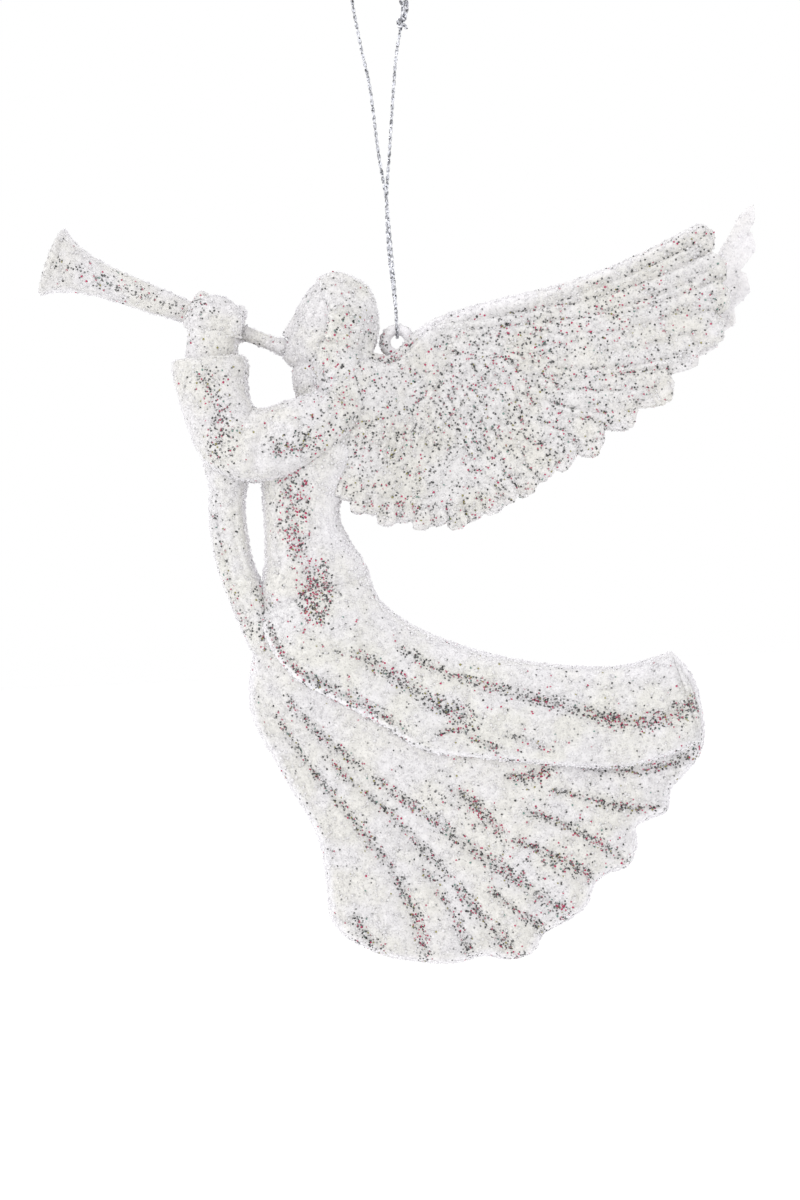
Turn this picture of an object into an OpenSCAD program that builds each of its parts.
// Hanging angel figurine: clear cast castings bonded into one figure, hung on a cord loop.
// The figure is a two-sided relief in the XZ plane, facing -X, with Y through its thickness.
// The frame's origin is the inner top of the cord loop, where something holds it up.
// All shapes are set out in the eye's own frame: its hole is at 0, 0, 0 and runs along Y.

/* [Hanging] */
// Drop from the inner top of the cord loop to the centre of the eye
eye_drop = 66; // [60:1:90]
// How far the figure leans back from its drawing position when it hangs in balance, in degrees
hang_tilt = 2.8; // [1:0.2:4]
// Diameter of the twisted cord
cord_d = 0.56; // [0.5:0.02:0.6]
// Length of the knot that closes the loop
knot_length = 3.4; // [3:0.2:4.4]
// Diameter of the knot
knot_d = 2.2; // [1.8:0.1:2.6]

/* [Eye] */
// Radius of the hole through the eye
eye_hole_r = 1.1; // [1.1:0.05:1.2]
// Radial width of the eye's ring
eye_rim = 1.6; // [1.4:0.1:1.7]
// Length of the straight wall in the middle of the hole
eye_land = 0.6; // [0.4:0.1:1]

/* [Body] */
// Half thickness of the torso
torso_half = 6.2; // [5:0.2:7]
// Half thickness of the skirt at the hip
skirt_half = 6.2; // [5:0.1:8]
// Half thickness of the skirt at the hem
hem_half = 4.8; // [3:0.1:7]
// Number of deep folds in the skirt
fold_count = 6; // [4:1:8]
// Depth of the folds at the hem
fold_depth = 1.5; // [0.6:0.1:2]
// Thickness of the tunic panel that lies over the skirt
tunic_t = 1.1; // [0.8:0.1:1.6]

/* [Head] */
// Height of the head from chin to crown
head_h = 17; // [16:0.5:18]
// How far the head is tilted back, in degrees
head_tilt = 18; // [12:1:24]

/* [Trumpet] */
// Length of the trumpet from lips to bell
trumpet_length = 39; // [34:1:44]
// Angle of the trumpet above level
trumpet_rise = 20.3; // [16:0.1:24]
// Diameter of the bell's rim
bell_d = 10.4; // [8:0.2:12]
// Depth of the hollow in the bell
bell_depth = 3.2; // [2:0.2:3.4]

/* [Wings] */
// Thickness of a wing at its root
wing_root_t = 3.2; // [3:0.2:5]
// Thickness of a wing at its feather tips
wing_tip_t = 1.5; // [1.2:0.1:2.4]
// Distance from the middle plane to a wing's inner face at its tip
wing_splay = 6; // [3:0.5:9]
// Number of feathers along a wing's trailing edge
feather_count = 13; // [9:1:16]

/* [Hidden] */

clear_resin = [0.88, 0.88, 0.87];
frosted_resin = [0.82, 0.84, 0.88];
wing_resin = [0.78, 0.82, 0.88];
cord_silver = [0.66, 0.66, 0.68];

// Clearance between the cord and the ring that it carries
cord_gap = 0.07;
// Thickness that a lofted edge keeps, as a share of its full thickness
edge_keep = 0.22;

// The waist, where the torso stands on the skirt: front end and back end
waist_front = [-21.5, -40];
waist_back = [-5, -35.5];

// Outline of the torso from neck to waist
torso_front_edge = [[-14.5, -6], [-20, -11], [-22, -18], [-22.4, -24], [-21, -32], waist_front];
torso_back_edge = [[-9.5, -6], [-5, -10], [-5, -17], [-8.8, -25], [-7.6, -31], waist_back];

// Lines that the skirt's folds follow, from front edge to back edge, waist to hem
skirt_lines = [
    [waist_front, [-23, -50], [-22.5, -60], [-17.5, -70], [-12, -81], [-11, -93]],
    [[-18.75, -39.25], [-21, -50], [-17.5, -62], [-7, -75.5], [1, -86.5], [4, -99.5]],
    [[-16, -38.5], [-18, -49.5], [-13, -62], [-2, -74], [9, -85.5], [19.5, -98]],
    [[-13.25, -37.75], [-15, -48.5], [-9, -60], [3.5, -71], [16, -81], [30.5, -89.5]],
    [[-10.5, -37], [-12, -47], [-4, -57], [10, -66], [24, -73], [38.5, -78.5]],
    [[-7.75, -36.25], [-8, -44.5], [1, -51.5], [15, -58], [31, -62.5], [48.5, -65]],
    [waist_back, [-3, -41.5], [5, -46.5], [18, -50.5], [31.5, -51.7], [45, -49]]
];
// Where the tunic panel's edge crosses the folds: share of the width, waist to hem
tunic_edge = [0, 0.17, 0.36, 0.6, 0.67, 0.72, 0.77, 0.83];

// Outline of a wing: leading edge and feather tips, both from root to tip
wing_lead = [
    [-11, -12], [-4, -6], [1.5, -2.6], [5.8, 2.4], [14.5, 6], [24, 8.2], [34, 11.3], [42, 15.2],
    [48.3, 19.3]
];
wing_tips = [
    [-10, -24], [-1, -29], [10, -29], [20, -24.5], [30, -17.5], [41, -8.5], [50, 0.5], [51.5, 9],
    [50.5, 16.5]
];
// How much further the far wing's outer feathers reach
far_reach = [7.5, 3];

// Outline of the sleeve that hangs from the elbow to the hip
drape_front_edge = [
    [-31, -17.5], [-30, -25], [-29, -32], [-27, -39], [-24.6, -45.5], [-22.8, -50]
];
drape_back_edge = [
    [-23, -19], [-24.2, -25], [-23.8, -30], [-22.6, -35], [-21, -40], [-21.6, -48]
];

// Where the trumpet meets the lips
lips = [-18.4, -0.8];
// Middle of the head, as the tilt and the lips place it
head_forward = [-cos(head_tilt), sin(head_tilt)];
head_up = [sin(head_tilt), cos(head_tilt)];
head_middle = lips - 0.41 * head_h * head_forward + 0.335 * head_h * head_up;

// Middle line of an arm from shoulder to fist, each with its radius in the plane
// and its half thickness: x, y, z, radius, half thickness
arm_line = [
    [-7, -5.4, -12.4, 2.4, 2],
    [-10.5, -6.2, -13.4, 4.6, 3.4],
    [-15.5, -6.4, -15, 5.2, 3.8],
    [-21, -5.6, -15.8, 5.2, 3.9],
    [-26.5, -4.4, -14.2, 5.2, 4.1],
    [-28.9, -4.2, -9, 5, 4],
    [-29.7, -4, -4.6, 5.5, 3.8],
    [-29.6, -3.2, -3.2, 4, 3],
    [-29.4, -3.1, 0.5, 4.4, 3.05],
    [-29.1, -3.1, 4.5, 4.5, 3.05],
    [-28.6, -3.1, 7.6, 3, 2.4]
];

// Route of the cord in the eye's frame, from the knot down behind the ring,
// and from the front of the ring back up over the top of the loop to the knot
rear_route = [
    [3.2, 0.1, 51], [2.1, 0.3, 46], [1.3, 0.4, 40], [0.4, 0.5, 32],
    [-0.6, 0.5, 23], [-0.7, 0.7, 15], [-0.3, 1.1, 9], [0, 1.4, 5]
];
front_route = [
    [0, -1.4, 5], [-0.1, -1, 10], [-0.4, -0.6, 17], [-0.7, -0.5, 23],
    [-1.6, -0.4, 30.5], [-2.4, -0.3, 40.5], [-3.5, -0.1, 47], [-4.5, 0, 54],
    [-4.8, 0, 59], [-3.5, 0, 63.8], [0, 0, 66.3], [3.4, 0, 64],
    [4.6, 0, 59.5], [3.9, 0, 54.5], [3.2, 0.1, 51]
];
// Height above the eye at which the cord's saddle ends and its strands begin
saddle_top = 3.2;
route_height = 66.3;

// ---- Curves and numbers ----

function mix(a, b, t) = a + (b - a) * t;
function limit(t) = max(0, min(1, t));
function ease(t) = let (s = limit(t)) s * s * (3 - 2 * s);
function to_3d(p, y) = [p[0], y, p[1]];

// A smooth curve through a list of points, t from 0 to 1
function through(p, t) =
    let (n = len(p) - 1, i = min(floor(t * n), n - 1), f = t * n - i)
    let (a = p[max(i - 1, 0)], b = p[i], c = p[i + 1], d = p[min(i + 2, n)])
    0.5 * (2 * b + (c - a) * f + (2 * a - 5 * b + 4 * c - d) * f * f
        + (3 * b - a - 3 * c + d) * f * f * f);

// A smooth surface through a list of such curves
function across(lines, u, v) = through([for (line = lines) through(line, v)], u);

// Half thickness of a lofted form from edge to edge, full in the middle
function swell(u) = mix(edge_keep, 1, sqrt(max(0, 1 - pow(abs(2 * u - 1), 3))));

// ---- Solids from grids of points ----

// A closed solid through rings of points, with a flat cap at each end
module ring_solid(rings) {
    n = len(rings[0]);
    last = (len(rings) - 1) * n;
    walls = [
        for (i = [0 : len(rings) - 2], j = [0 : n - 1])
        let (a = i * n + j, b = i * n + (j + 1) % n)
        each [[a, b, a + n], [b, b + n, a + n]]
    ];
    caps = [[for (j = [n - 1 : -1 : 0]) j], [for (j = [0 : n - 1]) last + j]];
    polyhedron([for (ring = rings) each ring], concat(walls, caps), convexity = 6);
}

// A closed solid between a front and a back grid of points, rows by columns
module grid_solid(front, back) {
    rings = [
        for (i = [0 : len(front) - 1])
        concat(front[i], [for (j = [len(back[i]) - 1 : -1 : 0]) back[i][j]])
    ];
    cols = len(front[0]);
    n = 2 * cols;
    last = (len(rings) - 1) * n;
    walls = [
        for (i = [0 : len(rings) - 2], j = [0 : n - 1])
        let (a = i * n + j, b = i * n + (j + 1) % n)
        each [[a, b, a + n], [b, b + n, a + n]]
    ];
    caps = [
        for (j = [0 : cols - 2])
        let (a = j, b = n - 1 - j)
        each [
            [a, b, a + 1], [a + 1, b, b - 1],
            [last + a, last + a + 1, last + b], [last + a + 1, last + b - 1, last + b]
        ]
    ];
    polyhedron([for (ring = rings) each ring], concat(walls, caps), convexity = 8);
}

// A rounded band between two edge curves, half thickness half_t(v), about the middle plane
module band(edge_a, edge_b, halves, rows, sides, squareness = 1) {
    ring_solid([
        for (i = [0 : rows])
        let (v = i / rows, a = through(edge_a, v), b = through(edge_b, v))
        let (h = through(halves, v))
        [
            for (j = [0 : sides - 1])
            let (angle = 360 * (j + 0.5) / sides, c = cos(angle), s = sin(angle))
            let (y = -h * sign(s) * pow(abs(s), squareness))
            to_3d(mix(a, b, 0.5 - 0.5 * c), y)
        ]
    ]);
}

// A tube of round section along a list of points
module cord_tube(points, d, sides = 8) {
    n = len(points);
    ring_solid([
        for (i = [0 : n - 1])
        let (along = points[min(i + 1, n - 1)] - points[max(i - 1, 0)])
        let (t = along / norm(along), side = cross([0, 1, 0], t))
        let (q = side / norm(side), w = cross(q, t))
        [
            for (j = [0 : sides - 1])
            let (angle = 360 * (j + 0.5) / sides)
            points[i] + d / 2 * (q * cos(angle) + w * sin(angle))
        ]
    ]);
}

// Puts the figure on the cord, leaning as it balances
module hung() {
    translate([0, 0, -eye_drop])
        rotate([0, hang_tilt, 0])
            children();
}

// Puts the cord above the eye, straight up and down
module plumb() {
    translate([0, 0, -eye_drop])
        children();
}

// ---- Figure ----

module torso() {
    color(clear_resin)
        hung()
            band(
                torso_front_edge, torso_back_edge,
                [2.4, torso_half, torso_half + 0.4, torso_half, torso_half - 0.6, torso_half],
                rows = 20, sides = 36, squareness = 0.8
            );
}

// How far the skirt's surface stands from the middle plane
function fold(u, v) = fold_depth * mix(0.15, 1, v) * (1 - abs(sin(180 * fold_count * u)));
function skirt_half_at(v) =
    v < 0.25 ? mix(torso_half, skirt_half, 4 * v) : mix(skirt_half, hem_half, ease((v - 0.25) / 0.75));
function skirt_y(u, v) = (skirt_half_at(v) - fold(u, v)) * swell(u);
// The hem is shorter where a fold runs into it
function hem_v(u, v) = v * (1 - 0.04 * pow(v, 3) * (1 - abs(sin(180 * fold_count * u))));
function skirt_point(u, v, y) = to_3d(across(skirt_lines, u, hem_v(u, v)), y);

module skirt() {
    cols = 8 * fold_count;
    rows = 24;
    function grid(side) = [
        for (i = [0 : rows])
        [for (j = [0 : cols]) let (u = j / cols, v = i / rows) skirt_point(u, v, side * skirt_y(u, v))]
    ];
    color(frosted_resin)
        hung()
            grid_solid(grid(-1), grid(1));
}

// The tunic lies on the skirt from its own edge back to the skirt's back edge
module tunic_panel(side) {
    cols = 20;
    rows = 26;
    sunk = 0.3;
    function u_at(j, v) = mix(through(tunic_edge, v), 0.985, j / cols);
    function rise(j) = tunic_t * sqrt(limit(j / 3)) * sqrt(limit((cols - j) / 2));
    function grid(lift) = [
        for (i = [0 : rows])
        let (v = mix(0.01, 0.985, i / rows))
        [
            for (j = [0 : cols])
            let (u = u_at(j, v), height = skirt_y(u, v) - sunk + lift * (sunk + rise(j)))
            skirt_point(u, v, side * height)
        ]
    ];
    if (side < 0)
        grid_solid(grid(1), grid(0));
    else
        grid_solid(grid(0), grid(1));
}

module near_tunic_panel() {
    color(clear_resin)
        hung()
            tunic_panel(-1);
}

module far_tunic_panel() {
    color(clear_resin)
        hung()
            tunic_panel(1);
}

// Profile of the face and neck in the head's own frame, as shares of the head's height:
// forward and up
head_front = [
    [0.06, 0.5], [0.3, 0.4], [0.385, 0.22], [0.38, 0.04], [0.44, -0.13],
    [0.49, -0.22], [0.42, -0.27], [0.43, -0.34], [0.4, -0.4], [0.36, -0.5], [0.14, -0.56],
    [-0.05, -0.8]
];
head_back = [
    [-0.06, 0.5], [-0.28, 0.42], [-0.37, 0.26], [-0.42, 0.08], [-0.44, -0.06],
    [-0.44, -0.16], [-0.41, -0.26], [-0.36, -0.34], [-0.33, -0.42], [-0.32, -0.5], [-0.34, -0.66],
    [-0.4, -0.86]
];
function in_head(p) = head_middle + head_h * (p[0] * head_forward + p[1] * head_up);

module head() {
    color(clear_resin)
        hung()
            band(
                [for (p = head_front) in_head(p)], [for (p = head_back) in_head(p)],
                head_h * [0.1, 0.24, 0.31, 0.33, 0.33, 0.32, 0.3, 0.28, 0.25, 0.19, 0.17, 0.2],
                rows = 33, sides = 24
            );
}

// Hair: a cap over the crown that runs down behind the neck to the shoulder
hair_front = [
    [0.2, 0.52], [0.12, 0.4], [0, 0.24], [-0.08, 0.06], [-0.12, -0.14], [-0.16, -0.36],
    [-0.26, -0.6], [-0.4, -0.82]
];
hair_back = [
    [-0.02, 0.56], [-0.27, 0.46], [-0.39, 0.28], [-0.465, 0.06], [-0.51, -0.16], [-0.55, -0.4],
    [-0.6, -0.62], [-0.62, -0.84]
];

module hair() {
    color(frosted_resin)
        hung()
            band(
                [for (p = hair_front) in_head(p)], [for (p = hair_back) in_head(p)],
                head_h * [0.16, 0.32, 0.38, 0.4, 0.4, 0.38, 0.36, 0.26],
                rows = 24, sides = 28
            );
}

// One arm: a wide sleeve bent at the elbow, and the fist that holds the trumpet
module arm() {
    rows = 30;
    sides = 20;
    line = [for (p = arm_line) [p[0], p[1], p[2]]];
    sizes = [for (p = arm_line) [p[3], p[4]]];
    step = 0.5 / rows;
    ring_solid([
        for (i = [0 : rows])
        let (t = i / rows, p = through(line, t), size = through(sizes, t))
        let (run = through(line, min(t + step, 1)) - through(line, max(t - step, 0)))
        let (q = [run[2], 0, -run[0]] / norm([run[2], 0, run[0]]))
        [
            for (j = [0 : sides - 1])
            let (angle = 360 * (j + 0.5) / sides)
            p - q * size[0] * cos(angle) + [0, size[1] * sin(angle), 0]
        ]
    ]);
}

module near_arm() {
    color(clear_resin)
        hung()
            arm();
}

module far_arm() {
    color(clear_resin)
        hung()
            mirror([0, 1, 0])
                arm();
}

module sleeve_drape() {
    color(frosted_resin)
        hung()
            band(drape_front_edge, drape_back_edge, [3.6, 3.8, 3.8, 3.6, 3, 1.6], rows = 14, sides = 16);
}

module trumpet() {
    bell_r = bell_d / 2;
    outside = [
        [0.9, 0], [1.6, 0.4], [1.7, 1.2], [1.1, 2.4], [1.05, 6], [1.5, 14], [2, 20],
        [2.3, trumpet_length - 10], [2.9, trumpet_length - 6], [3.7, trumpet_length - 3],
        [bell_r - 0.3, trumpet_length - 0.9], [bell_r, trumpet_length - 0.4], [bell_r - 0.2, trumpet_length]
    ];
    hollow = [
        [bell_r - 0.6, trumpet_length], [2.2, trumpet_length - 0.7 * bell_depth],
        [0, trumpet_length - bell_depth]
    ];
    color(clear_resin)
        hung()
            translate(to_3d(lips, 0))
                rotate([0, trumpet_rise - 90, 0])
                    rotate_extrude($fn = 48)
                        polygon(concat([[0, 0]], outside, hollow));
}

// ---- Wings ----

// Share of the way across its own feather, and a feather's rounded tip
function feather(u) = u * feather_count - min(floor(u * feather_count), feather_count - 1);
function tip_v(u, v) = v * (1 - 0.13 * v * v * pow(abs(2 * feather(u) - 1), 2.5));
function wing_place(u, v, reach) =
    mix(through(wing_lead, u), through(wing_tips, u), v) + reach * ease((u - 0.6) / 0.4);
function wing_inner(p) = wing_splay * limit((p[0] - 2) / 50) + 0.02;
function wing_thick(u, v) =
    mix(wing_root_t, wing_tip_t, max(ease(1.6 * u), v * 0.8)) * (1 - 0.28 * feather(u) * ease(3 * v));

module wing(reach) {
    cols = 4 * feather_count;
    rows = 9;
    function grid(depth) = [
        for (i = [0 : rows])
        [
            for (j = [0 : cols])
            let (u = j / cols, v = i / rows, p = wing_place(u, tip_v(u, v), reach))
            let (ends = mix(0.3, 1, sqrt(limit(v * 8))))
            to_3d(p, -wing_inner(p) - depth * wing_thick(u, v) * ends)
        ]
    ];
    grid_solid(grid(1), grid(0));
}

module near_wing() {
    color(wing_resin)
        hung()
            wing([0, 0]);
}

module far_wing() {
    color(wing_resin)
        hung()
            mirror([0, 1, 0])
                wing(far_reach);
}

// ---- Eye and cord ----

module hanging_eye() {
    ring_r = eye_rim / 2;
    mid_r = eye_hole_r + ring_r;
    color(clear_resin)
        hung()
            rotate([90, 0, 0]) {
                rotate_extrude($fn = 64)
                    union() {
                        translate([mid_r, eye_land / 2])
                            circle(r = ring_r, $fn = 32);
                        translate([mid_r, -eye_land / 2])
                            circle(r = ring_r, $fn = 32);
                        translate([mid_r - ring_r, -eye_land / 2])
                            square([eye_rim, eye_land]);
                    }
                translate([0.9, -mid_r, 0])
                    rotate([90, 0, 0])
                        cylinder(h = 4, r = ring_r + 0.2, $fn = 32);
            }
}

// The upper part of the route stretches with the drop of the loop
function drawn_up(p) =
    let (stretch = (eye_drop + cord_d / 2 - saddle_top) / (route_height - saddle_top))
    [p[0], p[1], saddle_top + (p[2] - saddle_top) * stretch];

// The cord passes under the top of the hole in a half turn round the ring
saddle_r = eye_rim / 2 + cord_gap + cord_d / 2;
saddle_y = eye_land / 2 + saddle_r;
saddle_z = eye_hole_r + eye_rim / 2;
function quarter(side) = [
    for (i = [0 : 5])
    let (angle = 90 * i / 5)
    [0, side * (eye_land / 2 + saddle_r * sin(angle)), saddle_z - saddle_r * cos(angle)]
];

module cord_saddle() {
    front = quarter(-1);
    color(cord_silver)
        plumb()
            cord_tube(
                concat(
                    [[0, -saddle_y, saddle_top]], [for (i = [5 : -1 : 0]) front[i]],
                    quarter(1), [[0, saddle_y, saddle_top]]
                ),
                cord_d
            );
}

module cord_strands() {
    rear = concat(rear_route, [[0, saddle_y, saddle_top + 0.4], [0, saddle_y, saddle_top]]);
    front = concat([[0, -saddle_y, saddle_top], [0, -saddle_y, saddle_top + 0.4]], front_route);
    color(cord_silver)
        plumb() {
            cord_tube([for (i = [0 : 28]) drawn_up(through(rear, i / 28))], cord_d);
            cord_tube([for (i = [0 : 46]) drawn_up(through(front, i / 46))], cord_d);
        }
}

module cord_knot() {
    color(cord_silver)
        plumb()
            translate(drawn_up(rear_route[0]))
                rotate_extrude($fn = 32)
                    polygon([
                        for (i = [0 : 12])
                        let (a = 15 * i - 90)
                        [knot_d / 2 * max(0, cos(a)), knot_length / 2 * sin(a)]
                    ]);
}

torso();
skirt();
near_tunic_panel();
far_tunic_panel();
head();
hair();
near_arm();
far_arm();
sleeve_drape();
trumpet();
near_wing();
far_wing();
hanging_eye();
cord_strands();
cord_saddle();
cord_knot();
